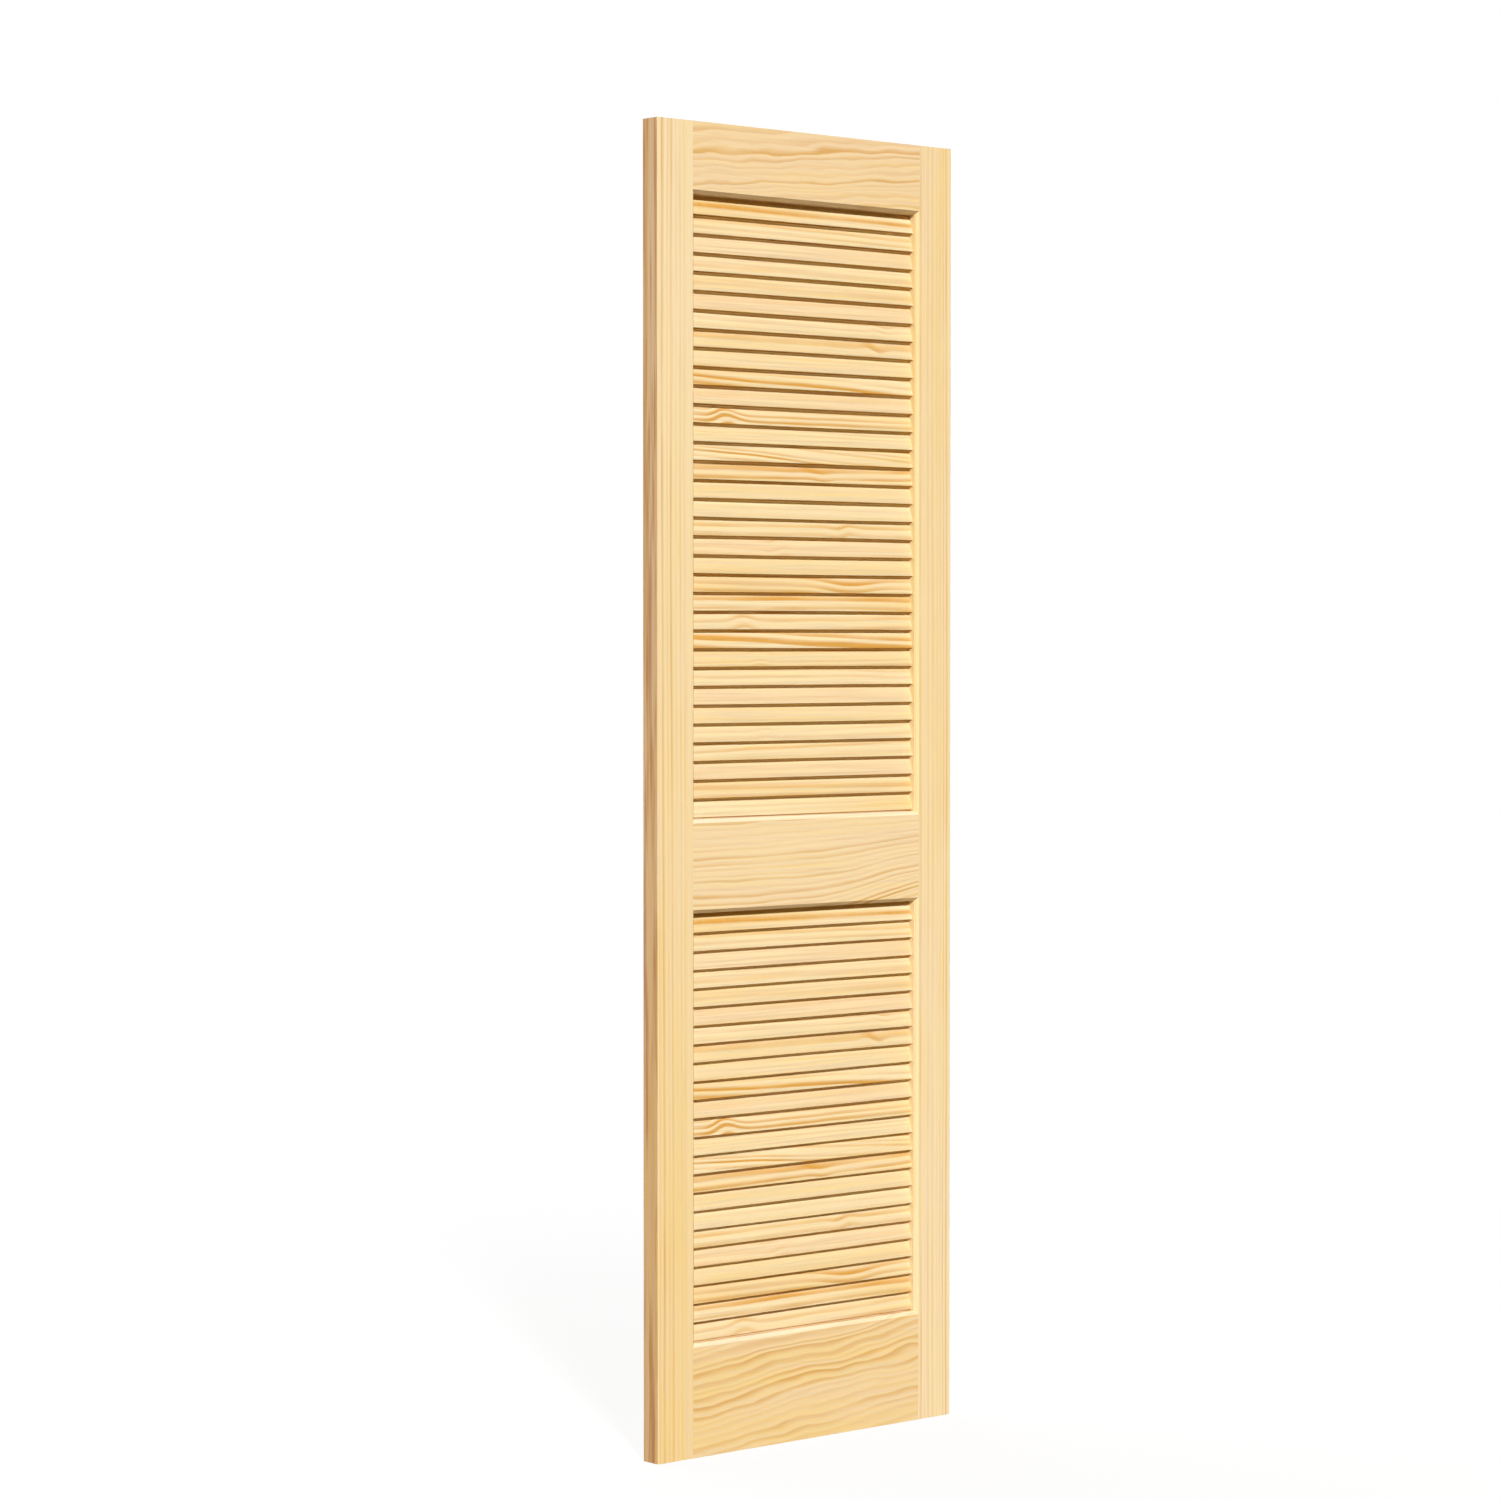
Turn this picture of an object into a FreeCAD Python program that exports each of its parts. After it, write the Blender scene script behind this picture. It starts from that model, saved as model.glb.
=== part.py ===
# Louvred pine door slab: two stiles and three rails, dowelled and glued, with two banks of fixed slats.
# X runs across the door, Y from the front face to the back face, Z up. The origin is the middle of the foot.
# Lengths are millimetres and angles are degrees.

import FreeCAD, Part
import Sketcher
import os
from collections import namedtuple

# Driving sizes: name, value and what it measures
SIZES = (
    ("door_width", 609.6, "across both stiles"),
    ("door_height", 2032.0, "length of a stile"),
    ("door_thickness", 35.0, "stiles and rails alike"),
    ("stile_width", 75.0, "outer edge to the flat of the inner edge"),
    ("top_rail_height", 109.0, "outer edge to the flat of the inner edge"),
    ("mid_rail_height", 143.0, "between the flats of its two inner edges"),
    ("bottom_rail_height", 174.5, "foot to the flat of the inner edge"),
    ("mid_rail_centre", 903.0, "middle of the middle rail above the foot"),
    ("bevel", 5.5, "bevel along every inner edge, on both faces"),
    ("edge_round", 1.5, "radius of a stile's outer long edges"),
    ("upper_slat_count", 33, "slats above the middle rail"),
    ("lower_slat_count", 23, "slats below the middle rail"),
    ("slat_width", 31.0, "edge to edge"),
    ("slat_thickness", 6.4, "face to face"),
    ("slat_ease", 0.8, "chamfer along a slat's four long corners"),
    ("slat_tilt", 20.0, "lean from upright, lower edge to the front"),
    ("slat_fit", 0.1, "gap round a slat in its mortise"),
    ("slat_end_gap", 0.3, "gap from a slat's end to the mortise's floor"),
    ("slat_rail_gap", 1.0, "gap from the first and last slat to the rails"),
    ("mortise_depth", 8.0, "into the stile from the flat of its inner edge"),
    ("dowel_diameter", 12.7, "shank"),
    ("dowel_length", 100.0, "half in the rail and half in the stile"),
    ("dowel_fit", 0.1, "gap round a dowel in its bore"),
    ("dowel_end_gap", 1.0, "glue room past each end of a dowel"),
    ("dowel_inset", 30.0, "outermost dowels' middle from the rail's edges"),
    ("rail_dowel_count", 2, "dowels in each end of the top and middle rails"),
    ("bottom_rail_dowel_count", 3, "dowels in each end of the bottom rail"),
)

# Places worked out from the driving sizes: name and formula
LAYOUT = (
    ("half_thickness", "sizes.door_thickness / 2"),
    ("half_flat", "half_thickness - sizes.bevel"),
    ("half_width", "sizes.door_width / 2"),
    ("half_opening", "half_width - sizes.stile_width"),
    ("half_rail", "half_opening + sizes.bevel"),
    ("bore_radius", "sizes.dowel_diameter / 2 + sizes.dowel_fit"),
    ("bore_depth", "sizes.dowel_length / 2 + sizes.dowel_end_gap"),
    ("tilt_sin", "sin(sizes.slat_tilt)"),
    ("tilt_cos", "cos(sizes.slat_tilt)"),
    ("slat_half_rise", "sizes.slat_width / 2 * tilt_cos"
                       " + (sizes.slat_thickness / 2 - sizes.slat_ease) * tilt_sin"),
    ("slat_clearance", "sizes.slat_rail_gap + slat_half_rise"),
    ("slat_length", "2 * (half_opening + sizes.mortise_depth - sizes.slat_end_gap)"),
    ("top_rail_centre", "sizes.door_height - sizes.top_rail_height / 2"),
    ("bottom_rail_centre", "sizes.bottom_rail_height / 2"),
    ("upper_top_slat", "sizes.door_height - sizes.top_rail_height - slat_clearance"),
    ("upper_last_slat", "sizes.mid_rail_centre + sizes.mid_rail_height / 2 + slat_clearance"),
    ("upper_pitch", "(upper_top_slat - upper_last_slat) / (sizes.upper_slat_count - 1)"),
    ("lower_top_slat", "sizes.mid_rail_centre - sizes.mid_rail_height / 2 - slat_clearance"),
    ("lower_last_slat", "sizes.bottom_rail_height + slat_clearance"),
    ("lower_pitch", "(lower_top_slat - lower_last_slat) / (sizes.lower_slat_count - 1)"),
)

Rail = namedtuple("Rail", "name centre height dowel_count bevelled_below bevelled_above")
RAILS = (
    Rail("top_rail", "layout.top_rail_centre", "sizes.top_rail_height",
         "sizes.rail_dowel_count", True, False),
    Rail("mid_rail", "sizes.mid_rail_centre", "sizes.mid_rail_height",
         "sizes.rail_dowel_count", True, True),
    Rail("bottom_rail", "layout.bottom_rail_centre", "sizes.bottom_rail_height",
         "sizes.bottom_rail_dowel_count", False, True),
)
PANELS = ("upper", "lower")
SIDES = {"left": -1, "right": 1}
LAST_NODE_SLAT_COUNT = 2
CLOSE = 0.001
UPRIGHT_SECTION = FreeCAD.Rotation(FreeCAD.Vector(1, 1, 1), 120)
ALONG_X = FreeCAD.Rotation(FreeCAD.Vector(0, 1, 0), 90)

doc = FreeCAD.newDocument("louvred_door")


def fill_sheet(name, rows):
    """Add a sheet with one named cell for each row."""
    sheet = doc.addObject("Spreadsheet::Sheet", name)
    for number, row in enumerate(rows, 1):
        sheet.set(f"A{number}", row[0])
        sheet.set(f"B{number}", str(row[1]))
        sheet.setAlias(f"B{number}", row[0])
        if len(row) > 2:
            sheet.set(f"C{number}", row[2])
    doc.recompute()
    return sheet


sizes = fill_sheet("sizes", SIZES)
layout = fill_sheet("layout", [(name, "=" + formula) for name, formula in LAYOUT])


def value(expression):
    """Work out an expression on the two sheets."""
    return float(layout.evalExpression(expression))


def spot(place):
    """Turn a pair of expressions into a point of a sketch."""
    return FreeCAD.Vector(value(place[0]), value(place[1]), 0)


def origin_feature(body, role):
    """Find one of a body's own planes or axes."""
    return next(feature for feature in body.Origin.OriginFeatures if feature.Role == role)


def flat_sketch(body, name, role, offset=None):
    """Start a sketch on one of the body's planes, moved off it by an expression."""
    sketch = body.newObject("Sketcher::SketchObject", name)
    sketch.AttachmentSupport = (origin_feature(body, role), [""])
    sketch.MapMode = "FlatFace"
    if offset:
        sketch.setExpression("AttachmentOffset.Base.z", offset)
    return sketch


def bind(sketch, constraint, expression):
    """Add a constraint whose value follows an expression."""
    index = sketch.addConstraint(constraint)
    sketch.setExpression(f"Constraints[{index}]", expression)


def pin(sketch, geometry, point, place):
    """Hold one point of a sketch at a pair of expressions."""
    for kind, expression in zip(("DistanceX", "DistanceY"), place):
        constraint = Sketcher.Constraint(kind, -1, 1, geometry, point, value(expression))
        bind(sketch, constraint, expression)


def draw_polygon(sketch, corners):
    """Draw a closed outline through corners given as pairs of expressions."""
    following = corners[1:] + corners[:1]
    lines = [sketch.addGeometry(Part.LineSegment(spot(a), spot(b))) for a, b in zip(corners, following)]
    for line, after in zip(lines, lines[1:] + lines[:1]):
        sketch.addConstraint(Sketcher.Constraint("Coincident", line, 2, after, 1))
    for line, corner in zip(lines, corners):
        pin(sketch, line, 1, corner)


def draw_slat_shape(sketch, height, margin):
    """Draw the leaning section of a slat, grown by a margin, with its middle at a height."""
    edge = f"(sizes.slat_width / 2 + {margin})"
    face = f"(sizes.slat_thickness / 2 + {margin})"
    eased_edge = f"({edge} - sizes.slat_ease)"
    eased_face = f"({face} - sizes.slat_ease)"
    quarter = [(face, eased_edge), (eased_face, edge)]
    corners = []
    for face_sign, edge_sign in ((1, 1), (-1, 1), (-1, -1), (1, -1)):
        turn = quarter if face_sign == edge_sign else quarter[::-1]
        for through, along in turn:
            across = f"{edge_sign} * {along} * layout.tilt_sin - {face_sign} * {through} * layout.tilt_cos"
            rise = f"{edge_sign} * {along} * layout.tilt_cos + {face_sign} * {through} * layout.tilt_sin"
            corners.append((across, f"{height} + {rise}"))
    draw_polygon(sketch, corners)


def draw_bores(sketch, heights):
    """Draw the dowel bores, one circle at each height."""
    radius = value("layout.bore_radius")
    for height in heights:
        centre = FreeCAD.Vector(0, value(height), 0)
        circle = sketch.addGeometry(Part.Circle(centre, FreeCAD.Vector(0, 0, 1), radius))
        sketch.addConstraint(Sketcher.Constraint("PointOnObject", circle, 3, -2))
        bind(sketch, Sketcher.Constraint("DistanceY", -1, 1, circle, 3, value(height)), height)
        bind(sketch, Sketcher.Constraint("Radius", circle, radius), "layout.bore_radius")


def add_pad(body, name, sketch, length, both_ways=False):
    """Extrude a sketch by an expression."""
    pad = body.newObject("PartDesign::Pad", name)
    pad.Profile = sketch
    pad.SideType = "Symmetric" if both_ways else "One side"
    pad.setExpression("Length", length)
    return pad


def add_pocket(body, name, sketch, depth, towards_normal):
    """Cut a sketch into the body by an expression, with or against the sketch's normal."""
    pocket = body.newObject("PartDesign::Pocket", name)
    pocket.Profile = sketch
    pocket.Reversed = towards_normal
    pocket.setExpression("Length", depth)
    return pocket


def rail_dowel_heights(rail):
    """List the heights of the dowels in each end of one rail as expressions."""
    gap = f"({rail.height} - 2 * sizes.dowel_inset) / ({rail.dowel_count} - 1)"
    first = f"{rail.centre} - {rail.height} / 2 + sizes.dowel_inset"
    return [f"{first} + {step} * {gap}" for step in range(int(value(rail.dowel_count)))]


def make_stile(side):
    """Make one stile: bevelled section, rounded outer edges, slat mortises and dowel bores."""
    sign = SIDES[side]
    outer = f"{sign} * layout.half_width"
    inner = f"{sign} * layout.half_opening"
    shoulder = f"{sign} * layout.half_rail"
    body = doc.addObject("PartDesign::Body", f"{side}_stile")
    section = flat_sketch(body, f"{side}_stile_section", "XY_Plane")
    corners = [
        (outer, "-layout.half_thickness"),
        (shoulder, "-layout.half_thickness"),
        (inner, "-layout.half_flat"),
        (inner, "layout.half_flat"),
        (shoulder, "layout.half_thickness"),
        (outer, "layout.half_thickness"),
    ]
    draw_polygon(section, corners)
    blank = add_pad(body, f"{side}_stile_blank", section, "sizes.door_height")
    doc.recompute()

    rounding = body.newObject("PartDesign::Fillet", f"{side}_stile_rounding")
    rounding.Base = (blank, upright_edges_at(blank.Shape, value(outer)))
    rounding.setExpression("Radius", "sizes.edge_round")

    for panel in PANELS:
        sketch = flat_sketch(body, f"{side}_{panel}_mortise", "YZ_Plane", inner)
        draw_slat_shape(sketch, f"layout.{panel}_last_slat", "sizes.slat_fit")
        first = add_pocket(body, f"{side}_{panel}_first_mortise", sketch, "sizes.mortise_depth", sign > 0)
        row = body.newObject("PartDesign::LinearPattern", f"{side}_{panel}_mortises")
        row.Originals = [first]
        row.Direction = (origin_feature(body, "Z_Axis"), [""])
        row.Mode = "Spacing"
        row.setExpression("Offset", f"layout.{panel}_pitch")
        row.setExpression("Occurrences", f"sizes.{panel}_slat_count")
        body.Tip = row

    bores = flat_sketch(body, f"{side}_stile_bores", "YZ_Plane", inner)
    draw_bores(bores, [height for rail in RAILS for height in rail_dowel_heights(rail)])
    add_pocket(body, f"{side}_stile_boring", bores, "layout.bore_depth", sign > 0)
    return body


def upright_edges_at(shape, across):
    """Name the long upright edges of a shape at one place across the door."""
    names = []
    for number, edge in enumerate(shape.Edges, 1):
        box = edge.BoundBox
        if box.ZLength > box.YLength and abs(box.XMin - across) + abs(box.XMax - across) < CLOSE:
            names.append(f"Edge{number}")
    return names


def make_rail(rail):
    """Make one rail: bevelled section, ends coped over the stiles' bevels and dowel bores."""
    body = doc.addObject("PartDesign::Body", rail.name)
    section = flat_sketch(body, f"{rail.name}_section", "YZ_Plane")
    draw_polygon(section, rail_section(rail))
    add_pad(body, f"{rail.name}_blank", section, "2 * layout.half_rail", both_ways=True)
    for side, sign in SIDES.items():
        end = f"{sign} * layout.half_opening"
        tip = f"{sign} * layout.half_rail"
        cope = flat_sketch(body, f"{rail.name}_{side}_cope", "XY_Plane", f"{rail.centre} - {rail.height} / 2")
        corners = [
            (tip, "-layout.half_thickness"),
            (tip, "layout.half_thickness"),
            (end, "layout.half_flat"),
            (end, "-layout.half_flat"),
        ]
        draw_polygon(cope, corners)
        add_pocket(body, f"{rail.name}_{side}_coping", cope, rail.height, True)
        bores = flat_sketch(body, f"{rail.name}_{side}_bores", "YZ_Plane", end)
        draw_bores(bores, rail_dowel_heights(rail))
        add_pocket(body, f"{rail.name}_{side}_boring", bores, "layout.bore_depth", sign < 0)
    return body


def rail_section(rail):
    """List the corners of a rail's section, with a bevel on each edge that faces an opening."""
    corners = []
    for edge, bevelled in ((-1, rail.bevelled_below), (1, rail.bevelled_above)):
        rim = f"{rail.centre} + {edge} * {rail.height} / 2"
        shoulder = f"{rim} - {edge} * sizes.bevel" if bevelled else rim
        flat = [(f"{edge} * layout.half_flat", rim), (f"{-edge} * layout.half_flat", rim)]
        corners.append((f"{edge} * layout.half_thickness", shoulder))
        corners += flat if bevelled else []
        corners.append((f"{-edge} * layout.half_thickness", shoulder))
    return corners


def make_slat_section():
    """Draw the section that all the slats share, with its middle at the origin."""
    section = doc.addObject("Sketcher::SketchObject", "slat_section")
    section.Placement = FreeCAD.Placement(FreeCAD.Vector(), UPRIGHT_SECTION)
    draw_slat_shape(section, "0", "0")
    return section


def make_slats(panel, section):
    """Make one panel's slats from the shared section, highest first."""
    slats = []
    for number in range(int(value(f"sizes.{panel}_slat_count"))):
        slat = doc.addObject("Part::Extrusion", f"{panel}_slat_{number + 1:02d}")
        slat.Base = section
        slat.DirMode = "Custom"
        slat.Dir = FreeCAD.Vector(1, 0, 0)
        slat.Symmetric = True
        slat.Solid = True
        slat.setExpression("LengthFwd", "layout.slat_length")
        slat.setExpression("Placement.Base.z", f"layout.{panel}_top_slat - {number} * layout.{panel}_pitch")
        slats.append(slat)
    return slats


def slat_nodes(panel, slats):
    """Give each slat a node of its own, except the lowest ones, which share one."""
    singles = slats[:-LAST_NODE_SLAT_COUNT]
    return singles + [group(f"{panel}_lowest_slats", slats[-LAST_NODE_SLAT_COUNT:])]


def make_dowel(name, across, height):
    """Make one dowel with its middle on a joint."""
    dowel = doc.addObject("Part::Cylinder", name)
    dowel.Placement = FreeCAD.Placement(FreeCAD.Vector(), ALONG_X)
    dowel.setExpression("Radius", "sizes.dowel_diameter / 2")
    dowel.setExpression("Height", "sizes.dowel_length")
    dowel.setExpression("Placement.Base.x", f"{across} - sizes.dowel_length / 2")
    dowel.setExpression("Placement.Base.z", height)
    return dowel


def make_dowels():
    """Make the dowels of all six joints as one group."""
    dowels = []
    for rail in RAILS:
        for side, sign in SIDES.items():
            for number, height in enumerate(rail_dowel_heights(rail), 1):
                name = f"{rail.name}_{side}_dowel_{number}"
                dowels.append(make_dowel(name, f"{sign} * layout.half_opening", height))
    return group("dowels", dowels)


def group(name, members):
    """Join separate solids into one named node."""
    compound = doc.addObject("Part::Compound", name)
    compound.Links = members
    return compound


def check(nodes):
    """Stop if any object failed or any node's shape is empty or broken."""
    for item in doc.Objects:
        if "Invalid" in item.State or "Error" in item.State:
            raise RuntimeError(f"{item.Label} failed: {item.State}")
    for node in nodes:
        if node.Shape.isNull() or not node.Shape.isValid():
            raise RuntimeError(f"{node.Label} has no valid shape")


def export(nodes):
    """Write one file for each node."""
    os.makedirs("parts", exist_ok=True)
    for node in nodes:
        node.Shape.exportStep(f"parts/{node.Label}.step")
        print(node.Label, len(node.Shape.Solids), round(node.Shape.Volume), node.Shape.BoundBox)


def main():
    """Build the door and write its pieces."""
    nodes = [make_stile(side) for side in SIDES]
    nodes += [make_rail(rail) for rail in RAILS]
    section = make_slat_section()
    for panel in PANELS:
        nodes += slat_nodes(panel, make_slats(panel, section))
    nodes.append(make_dowels())
    doc.recompute()
    check(nodes)
    export(nodes)


main()
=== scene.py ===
"""Louvred pine door: the boards' finishes, two banks of slats and a plain studio.

The frame is in metres, with X across the door, Y from front to back and Z up.
The grain of the wood is measured in millimetres.
"""

import logging
import math
import random
from dataclasses import dataclass
from enum import Enum
from typing import Any, Optional, Union

import bpy
from mathutils import Euler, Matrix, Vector

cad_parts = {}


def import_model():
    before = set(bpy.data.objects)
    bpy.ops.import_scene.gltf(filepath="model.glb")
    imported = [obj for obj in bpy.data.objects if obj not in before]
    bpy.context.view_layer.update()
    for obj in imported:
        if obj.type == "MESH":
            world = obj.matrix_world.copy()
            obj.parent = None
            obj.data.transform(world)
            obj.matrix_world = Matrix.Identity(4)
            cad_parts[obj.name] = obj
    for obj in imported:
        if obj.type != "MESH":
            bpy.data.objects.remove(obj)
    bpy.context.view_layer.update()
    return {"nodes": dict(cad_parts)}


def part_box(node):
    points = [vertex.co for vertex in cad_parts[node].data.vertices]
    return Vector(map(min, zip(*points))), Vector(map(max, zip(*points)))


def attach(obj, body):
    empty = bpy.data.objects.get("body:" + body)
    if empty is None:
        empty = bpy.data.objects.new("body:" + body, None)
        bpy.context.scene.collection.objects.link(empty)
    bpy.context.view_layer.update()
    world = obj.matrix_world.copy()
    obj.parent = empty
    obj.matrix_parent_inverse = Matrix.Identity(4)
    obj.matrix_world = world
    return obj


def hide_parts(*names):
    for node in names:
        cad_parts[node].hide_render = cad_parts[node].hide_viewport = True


log = logging.getLogger("louvred_door")

MM = 0.001
BODY = "root"

Colour = tuple[float, float, float, float]
Span = tuple[float, float]

WHITE: Colour = (1.0, 1.0, 1.0, 1.0)


def srgb(red: int, green: int, blue: int) -> Colour:
    """Turn a colour as a screen shows it into the linear colour that shaders take.

    Args:
        red: red from 0 to 255.
        green: green from 0 to 255.
        blue: blue from 0 to 255.

    Returns:
        The linear colour, opaque.
    """
    shares = [channel / 255 for channel in (red, green, blue)]
    linear = [s / 12.92 if s <= 0.04045 else ((s + 0.055) / 1.055) ** 2.4 for s in shares]
    return (*linear, 1.0)


class Wire:
    """A node's output that Python arithmetic can build on."""

    def __init__(self, graph: "Graph", socket: bpy.types.NodeSocket) -> None:
        """Hold an output socket of a graph."""
        self.graph = graph
        self.socket = socket

    def math(self, operation: str, first: "Value", second: "Value" = 0.0) -> "Wire":
        """Add a Math node of one operation on two values."""
        return self.graph.add("ShaderNodeMath", {"operation": operation}, {0: first, 1: second})

    def __add__(self, other: "Value") -> "Wire":
        """Add two values."""
        return self.math("ADD", self, other)

    __radd__ = __add__

    def __mul__(self, other: "Value") -> "Wire":
        """Multiply two values."""
        return self.math("MULTIPLY", self, other)

    __rmul__ = __mul__

    def __sub__(self, other: "Value") -> "Wire":
        """Take a value from this one."""
        return self.math("SUBTRACT", self, other)

    def __rsub__(self, other: "Value") -> "Wire":
        """Take this value from another."""
        return self.math("SUBTRACT", other, self)

    def __truediv__(self, other: "Value") -> "Wire":
        """Divide this value by another."""
        return self.math("DIVIDE", self, other)

    def __rtruediv__(self, other: "Value") -> "Wire":
        """Divide another value by this one."""
        return self.math("DIVIDE", other, self)

    def __abs__(self) -> "Wire":
        """Drop the sign."""
        return self.math("ABSOLUTE", self)

    def root(self) -> "Wire":
        """Take the square root."""
        return self.math("SQRT", self)

    def whole(self) -> "Wire":
        """Round down."""
        return self.math("FLOOR", self)

    def part(self) -> "Wire":
        """Keep what is left after rounding down."""
        return self.math("FRACT", self)

    def bell(self) -> "Wire":
        """Fall from 1 at zero to nothing on both sides, as a bell curve does."""
        return self.math("EXPONENT", self * self * -1.0)

    def between(self, low: float, high: float) -> "Wire":
        """Rise smoothly from 0 at the low value to 1 at the high one."""
        settings = {"interpolation_type": "SMOOTHSTEP"}
        inputs = {"Value": self, "From Min": low, "From Max": high}
        return self.graph.add("ShaderNodeMapRange", settings, inputs)

    def spread(self, low: float, high: float) -> "Wire":
        """Spread a value from 0 to 1 evenly from the low value to the high one."""
        return self * (high - low) + low


Value = Union[Wire, float]


class Graph:
    """A node tree whose nodes are added by one method.

    Attributes:
        mix_inputs: a Mix node's numbered sockets for the share and the two colours.
        mix_output: its numbered socket for the mixed colour.
    """

    mix_inputs = (0, 6, 7)
    mix_output = 2

    def __init__(self, tree: bpy.types.NodeTree) -> None:
        """Work on a node tree."""
        self.tree = tree

    def add(
        self,
        kind: str,
        settings: Optional[dict[str, Any]] = None,
        inputs: Optional[dict[Union[str, int], Any]] = None,
        output: Union[str, int] = 0,
    ) -> Wire:
        """Add a node, set it up and feed its sockets.

        Args:
            kind: the node's type.
            settings: the node's own properties, set before its sockets.
            inputs: a wire or a plain value for each named or numbered socket.
            output: the socket to hand on.

        Returns:
            The chosen output.
        """
        node = self.tree.nodes.new(kind)
        for name, setting in (settings or {}).items():
            setattr(node, name, setting)
        self.feed(node, inputs or {})
        return Wire(self, node.outputs[output])

    def feed(self, node: bpy.types.Node, inputs: dict[Union[str, int], Any]) -> None:
        """Link or set a node's sockets.

        Args:
            node: the node to feed.
            inputs: a wire or a plain value for each named or numbered socket.
        """
        for key, value in inputs.items():
            if isinstance(value, Wire):
                self.tree.links.new(value.socket, node.inputs[key])
            else:
                node.inputs[key].default_value = value

    def vector(self, x: Value, y: Value, z: Value) -> Wire:
        """Join three values into a vector."""
        return self.add("ShaderNodeCombineXYZ", {}, {"X": x, "Y": y, "Z": z})

    def split(self, vector: Wire) -> tuple[Wire, Wire, Wire]:
        """Take a vector apart."""
        node = self.add("ShaderNodeSeparateXYZ", {}, {"Vector": vector}).socket.node
        return tuple(Wire(self, socket) for socket in node.outputs)

    def mix(self, share: Value, first: Any, second: Any) -> Wire:
        """Mix two colours, with the share of the second one."""
        inputs = dict(zip(self.mix_inputs, (share, first, second)))
        return self.add("ShaderNodeMix", {"data_type": "RGBA"}, inputs, self.mix_output)


class Axis(Enum):
    """The way that a board's grain runs."""

    ACROSS = "x"
    UP = "z"


@dataclass(frozen=True)
class Place:
    """Where a point lies in its board: along the grain, across the face and through the board."""

    along: Wire
    across: Wire
    through: Wire


@dataclass(frozen=True)
class Figure:
    """A swirl in a board's grain, in millimetres.

    Attributes:
        place: where it lies along the board.
        reach: how far along the board it is felt.
        bulge: how far it pushes the rings down.
        kink: how far it skews them.
        lean: how much less it is felt for each length up the board.
        depth: how much more the late wood shows in it.
    """

    place: Value = 0.0
    reach: Value = 24.0
    bulge: Value = 0.0
    kink: Value = 0.0
    lean: float = 0.0
    depth: Value = 0.0

    def span(self, place: Place) -> Wire:
        """Measure how far a point lies along from the swirl, in shares of its reach."""
        return (place.along - self.place) / self.reach


@dataclass(frozen=True)
class Waves:
    """A layer of soft waves stretched along the grain, in millimetres.

    Attributes:
        length: size of a wave along the grain.
        width: size of a wave across the grain.
        shift: sets the layer apart from its board's other layers.
        detail: how many finer layers are added.
    """

    length: float
    width: float
    shift: float
    detail: float = 1.0


RING_PATCHES = Waves(length=160.0, width=30.0, shift=15.8)
FINE_LINES = Waves(length=200.0, width=3.6, shift=13.6, detail=2.0)
FIBRES = Waves(length=45.0, width=0.7, shift=5.7, detail=3.0)
RESIN_CANALS = Waves(length=9.0, width=0.45, shift=9.4)
BROWN_STREAKS = Waves(length=240.0, width=7.0, shift=11.2, detail=2.0)


@dataclass(frozen=True)
class Cut:
    """How a board was sawn from its log, in millimetres, and how its wood is coloured.

    Attributes:
        seed: shifts the patterns, so that no two boards match.
        heart_across: where the heart of the log lies across the board.
        heart_behind: how far behind the board's middle the heart lies.
        ring: width of a year's growth.
        climb: fall of the rings for each length of board.
        wander: depth of the grain's slow waves.
        wander_length: length of a slow wave.
        ripple: depth of the grain's quick waves.
        ripple_length: length of a quick wave.
        streaks: how strongly the late wood shows, mostly from 0 to 1.
        yellow: how yellow the wood is, from 0 to 1.
        pink: how pink it is, from 0 to 1.
        blush: change in its yellow for each length along the grain.
        fade: change in the late wood's strength for each length across.
        drift_width: size of its patches of colour across the grain.
        figure: a swirl in its grain.
    """

    seed: Value
    heart_across: Value
    heart_behind: Value
    ring: Value
    climb: Value
    wander: float
    wander_length: float
    ripple: float
    ripple_length: float
    streaks: Value
    yellow: Value
    pink: Value
    blush: Value = 0.0
    fade: float = 0.0
    drift_width: float = 26.0
    figure: Figure = Figure()

    def slow_waves(self) -> Waves:
        """Give the grain's slow waves."""
        return Waves(self.wander_length, width=60.0, shift=0.0)

    def quick_waves(self) -> Waves:
        """Give the grain's quick waves."""
        return Waves(self.ripple_length, width=22.0, shift=7.3)

    def colour_patches(self) -> Waves:
        """Give the wood's patches of colour."""
        return Waves(length=420.0, width=self.drift_width, shift=3.1)


@dataclass(frozen=True)
class Growth:
    """How a pine's years of growth differ and darken, with rings and parts of them counted in years.

    Attributes:
        stray: how far a ring lies from its even place at most.
        change: how soon that changes from ring to ring.
        darkens: the part of a year over which the wood darkens.
        pales: the part of a year over which it pales again.
        faintest: strength of the faintest ring.
        patch_depth: how far the strength differs from patch to patch.
        patch_level: the strength between a strong patch and a weak one.
    """

    stray: float = 1.3
    change: float = 0.4
    darkens: Span = (0.2, 0.78)
    pales: Span = (0.83, 1.0)
    faintest: float = 0.3
    patch_depth: float = 0.8
    patch_level: float = 0.85


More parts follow.
